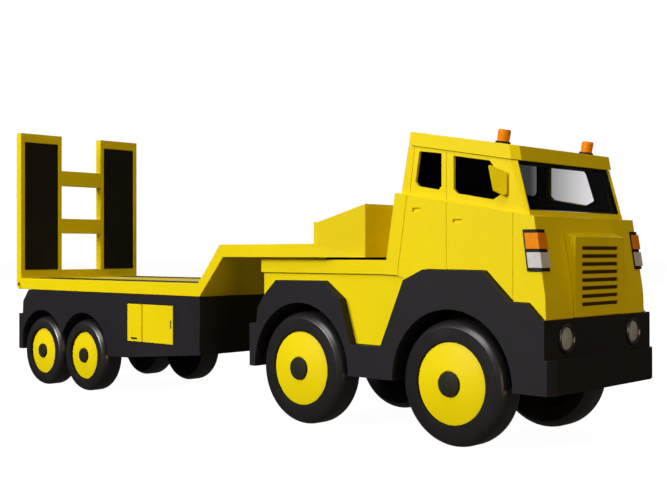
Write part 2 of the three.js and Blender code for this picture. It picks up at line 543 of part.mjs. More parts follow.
// The headboard: a prow of three walls that stands on the gooseneck, its top edge rising to the front.
const SIDE_PROFILE = [[NOSE_X[0], NECK_Z[1] - 1], [NOSE_X[0], HEADBOARD_Z[0]], [NOSE_X[1], HEADBOARD_Z[0]],
  [NECK_END, HEADBOARD_Z[1]], [NECK_END, NECK_Z[1] - 1]];
const HEADBOARD_SIDE_Y = TRAILER_Y - HEADBOARD_WALL;
const INNER_NOSE = [[NOSE_X[0] - 5, HEADBOARD_SIDE_Y], [NOSE_X[1] - 0.8, HEADBOARD_SIDE_Y],
  [NECK_END - HEADBOARD_WALL, NOSE_Y - 2.7]];
const headboard = cut(
  prismY(SIDE_PROFILE, -TRAILER_Y, TRAILER_Y).intersect(prismZ([[NOSE_X[0], TRAILER_Y], ...nosePlan(0),
    [NOSE_X[0], -TRAILER_Y]], 100, 200)),
  prismZ([...INNER_NOSE, ...INNER_NOSE.map(([x, y]) => [x, -y]).reverse()], NECK_Z[1], 200));

add(trailer, "trailer_bed", cut(
  union(
    headboard,
    cut(
      prismY(TRAILER_BED, -TRAILER_Y, TRAILER_Y).intersect(prismZ(BED_PLAN, 0, 200)),
      ...BED_HOLLOWS.map(([x0, x1, z0, z1]) => box(x0, x1, -TRAILER_Y + SKIN, TRAILER_Y - SKIN, z0, z1)),
      prismZ([[RIB_X, 60], [RIB_X, -60], ...nosePlan(SKIN + 1).reverse()], 110, NECK_Z[1] - SKIN)),
    box(52, 104, -TRAILER_Y + 1, TRAILER_Y - 1, NECK_Z[0], NECK_Z[0] + WALL),
    rodZ(KING_PIN_X, 0, 12, NECK_Z[0], NECK_Z[1] - 1, 24),
    ear(1), ear(-1)),
  rodZ(KING_PIN_X, 0, KING_BORE_R, 110, NECK_Z[1] - SKIN, 24),
  ...SIDES.map(([, side]) => box(...DECK_PAD.x, ...across(side, ...DECK_PAD.y), DECK_Z[1] - DECK_PAD.deep,
    DECK_Z[1] + 1)),
), YELLOW);

for (const [label, side] of SIDES) {
  const [x0, x1] = DECK_PAD.x;
  const [near, far] = DECK_PAD.y;
  add(trailer, `deck_pad_${label}`, box(x0 + GAP, x1 - GAP, ...across(side, near + GAP, far - GAP),
    DECK_Z[1] - DECK_PAD.deep + GAP, DECK_Z[1] - 0.1), BLACK);
}

// ---------------------------------------------------------------- trailer body: a black shell open underneath
const BODY_TOP = DECK_Z[0] - GAP;
const BODY_OUTLINE = [[-283.3, 33.0], [-283.0, 65.1], [-282.3, 76.7], [-272.6, BODY_TOP], [BODY_FRONT_X, BODY_TOP],
  [BODY_FRONT_X, 42.0], [-119.3, 33.8], [-144.0, 33.3]];
const BODY_HOLLOW = [[-280.8, 20], [-280.6, 65.1], [-279.9, 75.8], [-271.5, BODY_TOP - WALL],
  [BODY_FRONT_X - WALL, BODY_TOP - WALL], [BODY_FRONT_X - WALL, 20]];
const trailerArches = (radius) => union(...TRAILER_AXLES_X.map((x) =>
  rodY(x, TRAILER_WHEEL.radius, radius, -TRAILER_Y - 1, TRAILER_Y + 1, ARCH_SIDES)));
const lockerBlock = (side) => box(LOCKER_X[0] - 2, LOCKER_X[1] + 2,
  ...across(side, LOCKER_INNER_Y - 2, TRAILER_Y), LOCKER_Z[0] - 2, LOCKER_Z[1] + 2);
const lockerPocket = (side) => cut(
  box(...LOCKER_X, ...across(side, LOCKER_INNER_Y, TRAILER_Y + 1), ...LOCKER_Z),
  box(LOCKER_SPLIT_X - 1, LOCKER_SPLIT_X + 1, ...across(side, LOCKER_INNER_Y - 1, 64), ...LOCKER_Z));

add(trailer, "trailer_body", cut(
  union(
    cut(
      prismY(BODY_OUTLINE, -TRAILER_Y, TRAILER_Y),
      cut(prismY(BODY_HOLLOW, -TRAILER_Y + WALL, TRAILER_Y - WALL), trailerArches(TRAILER_ARCH_R + 2.2),
        lockerBlock(1), lockerBlock(-1)),
      trailerArches(TRAILER_ARCH_R)),
    box(-262, -168, -14, 14, 25, BODY_TOP - 1),
    ...SIDES.map(([, side]) => box(-289.6, -282.8, ...across(side, 44, TRAILER_Y), 31.4, 64.8))),
  box(-259.5, -170.5, -11.5, 11.5, 20, BODY_TOP - 5),
  ...TRAILER_AXLES_X.map((x) => rodY(x, TRAILER_WHEEL.radius, AXLE_BORE_R, -20, 20, 12)),
  lockerPocket(1), lockerPocket(-1),
), BLACK);

// ---------------------------------------------------------------- lockers: a door and a flap on each side
const PANEL_R = PANEL_THICK / 2;
for (const [label, side] of SIDES) {
  const hingeY = side * (TRAILER_Y - PANEL_R);
  const doorHeight = LOCKER_Z[1] - LOCKER_Z[0] - 2 * GAP;
  const doorX = LOCKER_SPLIT_X + PANEL_GAP + PANEL_R;
  const door = groupAt(trailer, doorX, hingeY, LOCKER_Z[0] + GAP);
  const outside = across(side, PANEL_R - FINGER_DEEP, PANEL_R + 1);
  const doorEnd = LOCKER_X[1] - GAP - doorX;
  add(door, `locker_door_${label}`, cut(
    union(
      box(0, doorEnd, -PANEL_R, PANEL_R, 0, doorHeight),
      rodZ(0, 0, PANEL_R, 0, doorHeight, 12)),
    box(doorEnd - 3.4, doorEnd - 1.9, ...outside, 0.4 * doorHeight, 0.62 * doorHeight)), YELLOW);
  const flapZ = LOCKER_Z[1] - GAP - PANEL_R;
  const flap = groupAt(trailer, LOCKER_X[0] + GAP, hingeY, flapZ);
  const flapWidth = LOCKER_SPLIT_X - PANEL_GAP - LOCKER_X[0] - GAP;
  const edge = solid(new THREE.CylinderGeometry(PANEL_R, PANEL_R, flapWidth, 12)
    .rotateZ(Math.PI / 2).translate(flapWidth / 2, 0, 0));
  const flapFoot = LOCKER_Z[0] + GAP - flapZ;
  add(flap, `locker_flap_${label}`, cut(
    union(box(0, flapWidth, -PANEL_R, PANEL_R, flapFoot, 0), edge),
    box(5, 13.5, ...outside, flapFoot + 1.6, flapFoot + 3.2)), YELLOW);
}

// ---------------------------------------------------------------- ramp: an H frame with two tread pads
const ramp = groupAt(trailer, hingeX, 0, hingeZ);
const HALF = RAMP_THICK / 2;
const up = (z) => z - hingeZ; // heights inside the ramp's group start at its hinge
const between = (z0, z1) => box(-HALF - 1, HALF + 1, -PLANK_Y, PLANK_Y, up(z0), up(z1));
const backPocket = (side, z0, z1) => box(-HALF - 1, -HALF + 3, ...across(side, ...PAD_Y), up(z0), up(z1));
const cells = [0, 1, 2, 3].map((i) => {
  const step = (PAD_Z[1] - PAD_Z[0]) / 4;
  return [PAD_Z[0] + i * step + 1.2, PAD_Z[0] + (i + 1) * step - 1.2];
});
add(ramp, "ramp_frame", cut(
  union(
    box(-HALF, HALF, -TRAILER_Y, TRAILER_Y, 0, up(RAMP_TOP_Z)),
    rodY(0, 0, HALF, -TRAILER_Y, TRAILER_Y, 16)),
  between(RAMP_FOOT_Z, RAMP_BARS_Z[0][0]),
  between(RAMP_BARS_Z[0][1], RAMP_BARS_Z[1][0]),
  between(RAMP_BARS_Z[1][1], RAMP_TOP_Z + 1),
  rodY(0, 0, PIN_BORE_R, -70, 70, 12),
  ...SIDES.flatMap(([, side]) => [
    box(HALF - PAD_DEPTH, HALF + 1, ...across(side, ...PAD_Y), up(PAD_Z[0]), up(PAD_Z[1])),
    box(-HALF - 1, HALF + 1, ...across(side, EAR_Y[0] - GAP, EAR_Y[1] + GAP), -HALF - 1, HALF + 0.2),
    ...cells.map(([z0, z1]) => backPocket(side, z0, z1))]),
), YELLOW);
for (const [label, side] of SIDES) {
  const [y0, y1] = across(side, PAD_Y[0] + GAP, PAD_Y[1] - GAP);
  add(ramp, `ramp_pad_${label}`, box(HALF - PAD_DEPTH + GAP, HALF - 0.1, y0, y1, up(PAD_Z[0] + GAP),
    up(PAD_Z[1] - GAP)), BLACK);
}
add(trailer, "ramp_hinge_pin", rodY(hingeX, hingeZ, PIN_R, -TRAILER_Y + GAP, TRAILER_Y - GAP, 12), STEEL);

export default group;
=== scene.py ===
# %% [markdown]
# # A toy tractor unit with its low-loader trailer
#
# The toy is a yellow and black plastic truck that pulls a low trailer with an upright ramp. Its frame, sizes
# and joints come ready made. This lesson dresses that frame. It sets up a camera and a plain studio, makes the
# plastics, rubber, glass and steel, and then softens the mouldings' edges, turns the wheels and lamps, and adds
# the small fittings.
#
# The frame is loaded first. Its box is kept.

# %% Load the frame
import json
import math
import bmesh
import bpy
import numpy as np
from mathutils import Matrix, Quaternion, Vector


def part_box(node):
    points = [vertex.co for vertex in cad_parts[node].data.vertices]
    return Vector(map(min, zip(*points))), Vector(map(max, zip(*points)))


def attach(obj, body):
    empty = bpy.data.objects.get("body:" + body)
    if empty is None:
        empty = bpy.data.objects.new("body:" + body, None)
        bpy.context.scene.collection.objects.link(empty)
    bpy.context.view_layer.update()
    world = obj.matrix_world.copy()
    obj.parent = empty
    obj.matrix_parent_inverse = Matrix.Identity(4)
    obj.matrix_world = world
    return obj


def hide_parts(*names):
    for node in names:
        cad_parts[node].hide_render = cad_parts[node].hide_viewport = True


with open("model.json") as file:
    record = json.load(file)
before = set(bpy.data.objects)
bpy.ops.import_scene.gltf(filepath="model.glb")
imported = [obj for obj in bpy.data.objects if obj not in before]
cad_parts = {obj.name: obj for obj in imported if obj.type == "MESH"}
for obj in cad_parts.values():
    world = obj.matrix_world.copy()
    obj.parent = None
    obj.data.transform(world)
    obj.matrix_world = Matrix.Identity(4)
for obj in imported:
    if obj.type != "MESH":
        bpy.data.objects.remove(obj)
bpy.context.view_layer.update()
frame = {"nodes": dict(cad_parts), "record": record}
MM = 0.001

# %% [markdown]
# ## Camera
#
# The eye stands low, about level with the load bed, ahead of the truck and to its right. It looks almost level,
# so upright edges stay upright. The lens is a little longer than a normal one, which keeps the nose from
# looking swollen. The view could be aimed with a constraint, but two angles and a roll say the same thing in
# numbers that are easy to change.

# %% Camera
EYE = Vector((621.0, -593.95, 122.24)) * MM
AZIMUTH, ELEVATION, ROLL = (math.radians(v) for v in (43.352, -0.138, -0.05))
LENS, SENSOR = 56.95, 36.0
NEAREST, FARTHEST = 0.02, 60

back = Vector((math.sin(AZIMUTH) * math.cos(ELEVATION), -math.cos(AZIMUTH) * math.cos(ELEVATION),
               math.sin(ELEVATION)))
camera = bpy.data.objects.new("camera", bpy.data.cameras.new("camera"))
bpy.context.scene.collection.objects.link(camera)
camera.location = EYE
camera.rotation_mode = "QUATERNION"
camera.rotation_quaternion = (-back).to_track_quat("-Z", "Y") @ Quaternion((0, 0, 1), ROLL)
camera.data.lens, camera.data.sensor_width = LENS, SENSOR
camera.data.clip_start, camera.data.clip_end = NEAREST, FARTHEST
bpy.context.scene.camera = camera
print("camera at", [round(v, 3) for v in camera.location], "metres")

# %% [markdown]
# ## Lamps
#
# Four square lamps light the toy. The key lamp stands to the right of the truck, a little behind its middle, so
# the long side is bright and the nose is in shade. A second one higher up opens the top faces. A weak warm lamp
# ahead of the nose gives the shade there its brown tone, and the last one lights the far side. The sky adds a
# trace of light everywhere. A sky picture could do all of this at once, but each lamp can be set by itself.

# %% Lamps
TRUCK_MIDDLE = Vector((0, 0, 0.1))
LAMPS = {  # place and side in metres, brightness, colour
    "key": ((-0.65, -2.55, 1.15), 1.0, 0.83, (1.0, 0.985, 0.95)),
    "top": ((0.42, -1.30, 1.95), 1.3, 0.30, (1.0, 0.99, 0.97)),
    "front_fill": ((2.6, -0.5, 0.35), 1.2, 0.25, (1.0, 0.72, 0.36)),
    "far_fill": ((-1.4, 2.3, 1.4), 1.5, 0.45, (1.0, 0.98, 0.95)),
}
SKY_COLOUR, SKY_STRENGTH = (1.0, 0.95, 0.88, 1), 0.045


def area_lamp(name, place, side, brightness, colour):
    """A square lamp that faces the truck. Its power is the brightness times the square of pi times the distance,
    so brightness is about what a white face square on to the lamp would show."""
    lamp = bpy.data.objects.new(name, bpy.data.lights.new(name, "AREA"))
    bpy.context.scene.collection.objects.link(lamp)
    lamp.location = Vector(place)
    lamp.rotation_mode = "QUATERNION"
    lamp.rotation_quaternion = (TRUCK_MIDDLE - lamp.location).to_track_quat("-Z", "Y")
    distance = (TRUCK_MIDDLE - lamp.location).length
    lamp.data.energy = brightness * (math.pi * distance) ** 2
    lamp.data.size = side
    lamp.data.color = colour


for name, settings in LAMPS.items():
    area_lamp(name, *settings)
world = bpy.data.worlds.new("studio")
bpy.context.scene.world = world
world.use_nodes = True
sky = world.node_tree.nodes["Background"]
sky.inputs["Color"].default_value = SKY_COLOUR
sky.inputs["Strength"].default_value = SKY_STRENGTH
bpy.context.scene.view_settings.view_transform = "Standard"
print("lamps:", ", ".join(LAMPS))

# %% [markdown]
# ## Floor and backdrop
#
# The toy stands on white paper that curves up out of sight. Here that is a wide floor and half a globe. Both
# glow a little, so they stay white under any lamp, and neither sends light or a reflection to the toy, so that
# its shaded faces stay deep. The globe is a surface of revolution, so one formula gives all of it.

# %% Floor and backdrop
FLOOR_HALF, GLOBE_RADIUS, GLOBE_FOOT = 14.0, 13.5, -0.02
FLOOR_COLOUR, FLOOR_GLOW = (0.16, 0.16, 0.16), 0.975
BACKDROP_COLOUR, BACKDROP_GLOW = (0, 0, 0), 1.0


def pale_stage(name, colour, glow):
    """A matt stage material that also gives a little light of its own."""
    material = bpy.data.materials.new(name)
    material.use_nodes = True
    shader = material.node_tree.nodes["Principled BSDF"]
    shader.inputs["Base Color"].default_value = (*colour, 1)
    shader.inputs["Roughness"].default_value = 0.9
    shader.inputs["Specular IOR Level"].default_value = 0.0
    shader.inputs["Emission Color"].default_value = (1, 1, 1, 1)
    shader.inputs["Emission Strength"].default_value = glow
    return material


def stage_piece(name, points, faces, material):
    """Puts points and faces into a mesh of the studio, which sends no light and no reflection to the toy."""
    mesh = bpy.data.meshes.new(name)
    mesh.from_pydata(points.tolist(), [], faces.tolist())
    mesh.materials.append(material)
    made = bpy.data.objects.new(name, mesh)
    bpy.context.scene.collection.objects.link(made)
    made.visible_diffuse = False
    made.visible_glossy = False
    return made


def half_globe(radius, foot, columns=96, rows=25):
    """Points and faces of half a globe, seen from inside. Each point is radius times (cos u cos a, cos u sin a,
    sin u), where a goes round and u goes up from the foot angle to the pole."""
    a, u = np.meshgrid(np.arange(columns) * 2 * np.pi / columns, np.linspace(foot, np.pi / 2, rows))
    points = radius * np.stack([np.cos(u) * np.cos(a), np.cos(u) * np.sin(a), np.sin(u)], -1)
    i = np.arange(rows - 1)[:, None] * columns
    j = np.arange(columns)
    k = (j + 1) % columns
    faces = np.stack([i + k, i + j, i + columns + j, i + columns + k], -1)
    return points.reshape(-1, 3), faces.reshape(-1, 4)


floor_corners = np.array([(-1, -1, 0), (1, -1, 0), (1, 1, 0), (-1, 1, 0)]) * FLOOR_HALF
stage_piece("floor", floor_corners, np.arange(4)[None], pale_stage("stage_floor", FLOOR_COLOUR, FLOOR_GLOW))
backdrop = stage_piece("backdrop", *half_globe(GLOBE_RADIUS, GLOBE_FOOT),
                       pale_stage("stage_backdrop", BACKDROP_COLOUR, BACKDROP_GLOW))
backdrop.visible_shadow = False
print("the backdrop has", len(backdrop.data.polygons), "faces")

# %% [markdown]
# ## Materials
#
# The real toy is moulded plastic, apart from the rubbery tyres and pads and two steel pins. Such a surface isn't
# one flat colour. The pigment drifts a little over a hand's breadth, the gloss changes where hands have polished
# it, and a fine grain from the mould breaks up the highlights. A picture could be wrapped round each piece, but
# its seams would show. Here each effect is a noise at its own scale, read from object coordinates, so it needs no
# seams and stays on the piece as it moves. The class below holds the few calls that all the finishes share.

# %% Node helpers
class Surface:
    """A Principled surface and the short calls that build its pattern."""

    def __init__(self, name, **inputs):
        self.material = bpy.data.materials.new(name)
        self.material.use_nodes = True
        self.tree = self.material.node_tree
        self.shader = self.tree.nodes["Principled BSDF"]
        for label, value in inputs.items():
            self.shader.inputs[label.replace("_", " ")].default_value = value
        self.place = self.node("ShaderNodeTexCoord").outputs["Object"]

    def node(self, kind, **settings):
        """Adds a node and sets the properties that are named."""
        made = self.tree.nodes.new(kind)
        for label, value in settings.items():
            setattr(made, label, value)
        return made

    def link(self, source, target):
        self.tree.links.new(source, target)

    def noise(self, scale, detail=3.0, roughness=0.5, stretch=(1, 1, 1)):
        """Smooth random values around a half; scale counts features in a metre."""
        made = self.node("ShaderNodeTexNoise")
        made.inputs["Scale"].default_value = scale
        made.inputs["Detail"].default_value = detail
        made.inputs["Roughness"].default_value = roughness
        place = self.place
        if stretch != (1, 1, 1):
            mapping = self.node("ShaderNodeMapping")
            mapping.inputs["Scale"].default_value = stretch
            self.link(self.place, mapping.inputs["Vector"])
            place = mapping.outputs["Vector"]
        self.link(place, made.inputs["Vector"])
        return made.outputs["Fac"]

    def spread(self, value, low, high, start=0.35, end=0.65):
        """Maps the part of a value between start and end onto low to high."""
        made = self.node("ShaderNodeMapRange")
        made.inputs["From Min"].default_value, made.inputs["From Max"].default_value = start, end
        made.inputs["To Min"].default_value, made.inputs["To Max"].default_value = low, high
        self.link(value, made.inputs["Value"])
        return made.outputs["Result"]

    def colours(self, value, low, high):
        """Blends two colours by a value between 0 and 1."""
        made = self.node("ShaderNodeMix", data_type="RGBA")
        made.inputs[6].default_value, made.inputs[7].default_value = (*low, 1), (*high, 1)
        self.link(value, made.inputs[0])
        return made.outputs[2]

    def bump(self, height, strength, distance):
        """Adds a bump of that depth in metres, on top of any bump that is there already."""
        made = self.node("ShaderNodeBump")
        made.inputs["Strength"].default_value = strength
        made.inputs["Distance"].default_value = distance
        self.link(height, made.inputs["Height"])
        if self.shader.inputs["Normal"].is_linked:
            self.link(self.shader.inputs["Normal"].links[0].from_socket, made.inputs["Normal"])
        self.link(made.outputs["Normal"], self.shader.inputs["Normal"])


print("a surface can carry a noise, a spread, a blend of colours and a bump")

# %% [markdown]
# ## Moulded plastics
#
# Body shells, fenders, caps and pads all come out of the same kind of mould, so one recipe serves them. It is
# given two colours that are close together, the range of its gloss, and how fine and deep its grain is. The
# yellow is glossier and smoother than the black, which has a visible grain. The lamp rings are the only glossy
# black parts. The board behind the grille is painted dark brown as painted shade: it stands for yellow plastic
# deep in shade at the back of the slots.

# %% Moulded plastics
DRIFT, SPECK, GLOSS_PATCH, WAVE = 9, 420, 34, 70    # features in a metre
SPECK_SHARE = 0.25
GRAIN_STRENGTH, WAVE_STRENGTH, WAVE_DEPTH = 0.35, 0.12, 0.00012


def moulded(name, low, high, gloss, grain, grain_depth, **inputs):
    """Moulded plastic: the colour is a blend by slow drift plus a quarter of a fine speck, the gloss is patchy,
    and the surface has a fine grain over long shallow waves."""
    made = Surface(name, **inputs)
    drift = made.spread(made.noise(DRIFT, 4), 0, 1)
    speck = made.spread(made.noise(SPECK, 2), 0.0, 1.0, 0.3, 0.7)
    mixed = made.node("ShaderNodeMath", operation="MULTIPLY_ADD")
    mixed.inputs[1].default_value = SPECK_SHARE
    made.link(speck, mixed.inputs[0])
    made.link(drift, mixed.inputs[2])
    made.link(made.colours(mixed.outputs[0], low, high), made.shader.inputs["Base Color"])
    made.link(made.spread(made.noise(GLOSS_PATCH, 5, 0.6), *gloss), made.shader.inputs["Roughness"])
    made.bump(made.noise(grain, 2, 0.6), GRAIN_STRENGTH, grain_depth)
    made.bump(made.noise(WAVE, 1), WAVE_STRENGTH, WAVE_DEPTH)
    return made.material


YELLOW = moulded("yellow_plastic", (0.87, 0.675, 0.001), (0.94, 0.740, 0.003), (0.36, 0.46), 2200, 0.00002,
                 Specular_IOR_Level=0.14)
BLACK = moulded("black_plastic", (0.015, 0.0135, 0.017), (0.020, 0.0185, 0.022), (0.48, 0.60), 1300, 0.00005,
                Specular_IOR_Level=0.13)
INTERIOR = moulded("interior_plastic", (0.0015, 0.0015, 0.0018), (0.003, 0.003, 0.0032), (0.7, 0.85),
                   900, 0.0001, Specular_IOR_Level=0.1)
CAP = moulded("cap_plastic", (0.018, 0.018, 0.010), (0.024, 0.024, 0.014), (0.45, 0.55), 1500, 0.00004,
              Specular_IOR_Level=0.13)
PAD = moulded("pad_rubber", (0.007, 0.007, 0.0055), (0.012, 0.011, 0.010), (0.6, 0.8), 700, 0.00015,
              Specular_IOR_Level=0.2)
GLOSS_BLACK = moulded("gloss_black", (0.020, 0.019, 0.022), (0.030, 0.028, 0.031), (0.16, 0.24), 1500, 0.00003,
                      Specular_IOR_Level=0.6)
# Painted shade: the dark brown board behind the grille stands for yellow plastic deep in shade.
GRILLE_PAINTED_SHADE = moulded("grille_painted_shade", (0.06, 0.032, 0.001), (0.08, 0.042, 0.001), (0.6, 0.8), 900, 0.0001,
                      Specular_IOR_Level=0.1)
print("made 7 moulded plastics")

# %% [markdown]
# ## Tyre rubber
#
# The tyres have a dull flat sidewall and a shiny shoulder and tread, with a clear line between the two. That
# could be two materials on two sets of faces. A thin clear coat that follows an attribute of the mesh does it in
# one, and the line stays sharp however finely the tyre is turned.

# %% Tyre rubber
def tyre_rubber():
    """Black rubber: a fine matt grain on the sidewalls, and a polished coat over the shoulder and the tread. The
    coat follows the attribute "polish", which each tyre carries."""
    made = Surface("tyre_rubber", Specular_IOR_Level=0.22, Coat_Roughness=0.30, Coat_IOR=1.9)
    polish = made.node("ShaderNodeAttribute", attribute_name="polish").outputs["Fac"]
    scuff = made.spread(made.noise(60, 5, 0.6), 0, 1, 0.4, 0.7)
    made.link(made.colours(scuff, (0.0085, 0.0070, 0.0080), (0.0120, 0.0100, 0.0110)),
              made.shader.inputs["Base Color"])
    made.link(made.spread(made.noise(40, 4), 0.68, 0.82), made.shader.inputs["Roughness"])
    made.link(polish, made.shader.inputs["Coat Weight"])
    made.bump(made.noise(900, 3, 0.7), 0.15, 0.00004)
    return made.material


RUBBER = tyre_rubber()
print("made", RUBBER.name)

# %% [markdown]
# ## Lens plastics and glass
#
# The lamp lenses are clear or orange plastic with a hard shine. Their inside is faceted and hides what is
# behind, so a solid colour under a thin coat looks right and costs less than real refraction. The windows are
# another matter, because the far side is seen through them. They let light through, but bend it hardly at all,
# so that the thin sheet doesn't show a grey reflection. Their colour carries painted shade: it is near black at
# the rear side windows, so that what is seen through them reads as deep shade, and it clears towards the
# windscreen.

# %% Lens plastics and glass
# Where the painted shade in the window colour starts to clear, and where it is gone.
PAINTED_SHADE_FROM, PAINTED_SHADE_TO = 0.203, 0.262    # metres ahead of the middle of the truck


def lens_plastic(name, low, high):
    """Coloured lens plastic under a hard coat: the colour drifts a little, as over a faceted inner face."""
    made = Surface(name, Roughness=0.3, Specular_IOR_Level=0.2, Coat_Weight=0.1, Coat_Roughness=0.1)
    made.link(made.colours(made.spread(made.noise(160, 2), 0, 1), low, high), made.shader.inputs["Base Color"])
    made.bump(made.noise(240, 1), 0.03, 0.00004)
    return made.material


def painted_shade_glass():
    """Clear plastic with painted shade: a near-black colour at the rear blends into a near-white one by the
    distance forward.
    """
    made = Surface("painted_shade_glass", Transmission_Weight=1.0, IOR=1.03, Specular_IOR_Level=0.5)
    split = made.node("ShaderNodeSeparateXYZ")
    made.link(made.place, split.inputs["Vector"])
    forward = made.spread(split.outputs["X"], 0.0, 1.0, PAINTED_SHADE_FROM, PAINTED_SHADE_TO)
    # Painted shade: near black at the rear side windows, near white towards the windscreen.
    made.link(made.colours(forward, (0.040, 0.042, 0.041), (0.93, 0.92, 0.93)), made.shader.inputs["Base Color"])
    made.link(made.spread(made.noise(60, 3), 0.0, 0.02), made.shader.inputs["Roughness"])
    return made.material


ORANGE = lens_plastic("orange_lens", (0.86, 0.23, 0.001), (0.95, 0.29, 0.002))
CLEAR = lens_plastic("clear_lens", (0.60, 0.57, 0.58), (0.68, 0.65, 0.66))
FOG_LENS = lens_plastic("fog_lens", (0.36, 0.40, 0.50), (0.44, 0.48, 0.58))
GLASS = painted_shade_glass()
print("made 3 lens plastics and the glass")

# %% [markdown]
# ## Steel pins
#
# The king pin and the ramp's hinge pin are turned from steel rod. The lathe leaves fine rings. They could be
# modelled, but they are far thinner than a hair, so a noise that is squeezed along the pin stands for them.
#
# The last step gives every node of the frame the finish that its material slot asks for.

# %% Steel, and a finish for every node
def turned_steel():
    """Bright steel: the gloss and a shallow bump change quickly along the pin and slowly round it."""
    made = Surface("turned_steel", Metallic=1.0, Base_Color=(0.55, 0.55, 0.57, 1))
    made.link(made.spread(made.noise(300, 3, 0.6, (1, 8, 1)), 0.22, 0.42), made.shader.inputs["Roughness"])
    made.bump(made.noise(900, 2, 0.5, (0.3, 4, 0.3)), 0.15, 0.00003)
    return made.material


STEEL = turned_steel()
FINISH = {
    "yellow_plastic": YELLOW, "black_plastic": BLACK, "interior_plastic": INTERIOR, "tyre": RUBBER,
    "axle_cap": CAP, "orange_lens": ORANGE, "clear_lens": CLEAR, "window_glass": GLASS, "tread_pad": PAD,
    "steel": STEEL,
}
slot_of_node = {s["node"]: s["material_slot"] for s in frame["record"]["subparts"]}
for node, thing in frame["nodes"].items():
    thing.data.materials.clear()
    thing.data.materials.append(FINISH[slot_of_node[node]])
print("finishes:", ", ".join(m.name for m in FINISH.values()))

# %% [markdown]
# ## Soft edges
#
# A moulding has no knife edges. The tool is cut with small radii, and they catch the light as fine bright lines.
# Rounding could be faked in the shader, but the outline would stay sharp. A real bevel of half a millimetre or
# less goes on a merged copy of each boxy node, and the copy stands for that node.
#
# A bevel has to be narrower than the face it cuts into. The frame round the windscreen is paper-thin, so its
# edges stay sharp.

# %% Bevelled copies
CREASE_ANGLE, BEVEL_ANGLE = math.radians(14), math.radians(28)
MERGE_DISTANCE = 0.02 * MM
SCREEN_FRAME_X, SCREEN_FRAME_Z, SCREEN_FRAME_Y = 250, 146, (54.5, 56.5)    # millimetres
body_of_node = {n: b for b, names in frame["record"]["behaviour"]["bodies"].items() for n in names}


def finish_piece(piece, body, slot, replaced=()):
    """Links a piece to its body, its material slot and the nodes that it stands for."""
    bpy.context.scene.collection.objects.link(piece)
    if not piece.data.materials:
        piece.data.materials.append(FINISH[slot])
    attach(piece, body)
    if replaced:
        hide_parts(*replaced)
    return piece


def mark_soft_edges(mesh):
    """Gives a bevel weight of 1 to each edge that turns by more than the bevel angle, except round the screen."""
    work = bmesh.new()
    work.from_mesh(mesh)
    weight = work.edges.layers.float.new("bevel_weight_edge")
    for edge in work.edges:
        x, y, z = (edge.verts[0].co + edge.verts[1].co) / 2 / MM
        in_frame = x > SCREEN_FRAME_X and z > SCREEN_FRAME_Z and SCREEN_FRAME_Y[0] < abs(y) < SCREEN_FRAME_Y[1]
        turns = len(edge.link_faces) == 2 and edge.calc_face_angle() > BEVEL_ANGLE
        edge[weight] = 1.0 if turns and not in_frame else 0.0
    work.to_mesh(mesh)
    work.free()


def soft_copy(node, width):
    """A merged copy of a node, with its sharp edges rounded by a bevel of that width in millimetres. Normals are
    weighted by face area, so that the flat faces stay flat right up to their soft edges."""
    mesh = frame["nodes"][node].data.copy()
    work = bmesh.new()
    work.from_mesh(mesh)
    bmesh.ops.remove_doubles(work, verts=work.verts, dist=MERGE_DISTANCE)
    work.to_mesh(mesh)
    work.free()
    mesh.name = node + "_soft"
    mesh.shade_smooth()
    mesh.set_sharp_from_angle(angle=CREASE_ANGLE)
    mark_soft_edges(mesh)
    piece = bpy.data.objects.new(node + "_soft", mesh)
    finish_piece(piece, body_of_node[node], slot_of_node[node], (node,))
    bevel = piece.modifiers.new("soft_edges", "BEVEL")
    bevel.width, bevel.segments = width * MM, 2
    bevel.limit_method = "WEIGHT"
    bevel.use_clamp_overlap = False
    flat = piece.modifiers.new("flat_faces", "WEIGHTED_NORMAL")
    flat.mode, flat.weight, flat.keep_sharp = "FACE_AREA", 100, True
    return piece


SOFT_NODES = {  # bevel width in millimetres
    "chassis": 0.5, "lower_body": 0.3, "cab_and_bed": 0.2, "fifth_wheel_plate": 0.4, "cab_roof": 0.35,
    "grille_housing": 0.2, "trailer_bed": 0.3, "trailer_body": 0.3, "ramp_frame": 0.35,
    "ramp_pad_right": 0.15, "ramp_pad_left": 0.15, "deck_pad_right": 0.15, "deck_pad_left": 0.15,
    "mirror_right": 0.3, "mirror_left": 0.3, "lamp_housing_right": 0.1, "lamp_housing_left": 0.1,
    "cab_interior": 0.1, "windscreen": 0.15, "side_glass_right": 0.15, "side_glass_left": 0.15,
    "locker_door_right": 0.2, "locker_door_left": 0.2, "locker_flap_right": 0.2, "locker_flap_left": 0.2,
    "indicator_lens_right": 0.2, "indicator_lens_left": 0.2,
    "headlamp_lens_right": 0.2, "headlamp_lens_left": 0.2, "grille_insert": 0.2,
}
soft = {node: soft_copy(node, width) for node, width in SOFT_NODES.items()}
# The board behind the grille gets the painted-shade brown in place of its own finish.
soft["grille_insert"].data.materials[0] = GRILLE_PAINTED_SHADE
print("softened", len(soft), "nodes")

# %% [markdown]
# ## Turned pieces
#
# Tyres, rims, hub caps, beacons and fog lamps are all round about an axis. Blender has a Screw modifier for such
# shapes. Here one helper turns them as an array, because then the closed profile gives a closed mesh for
# certain, and its sizes can be read straight off the frame. A second helper rounds the profile's corners.

# %% Turning helpers
SMOOTH_ANGLE = math.radians(32)


def mesh_piece(name, points, faces, smooth=True):
    """Puts arrays of points (metres) and faces into a mesh, merges doubles and turns the faces outwards."""
    mesh = bpy.data.meshes.new(name)
    mesh.from_pydata(points.tolist(), [], faces.tolist())
    work = bmesh.new()
    work.from_mesh(mesh)
    bmesh.ops.remove_doubles(work, verts=work.verts, dist=0.004 * MM)
    bmesh.ops.dissolve_degenerate(work, edges=work.edges, dist=0.002 * MM)
    bmesh.ops.recalc_face_normals(work, faces=work.faces)
    work.to_mesh(mesh)
    work.free()
    if smooth:
        mesh.shade_smooth()
        mesh.set_sharp_from_angle(angle=SMOOTH_ANGLE)
    return bpy.data.objects.new(name, mesh)


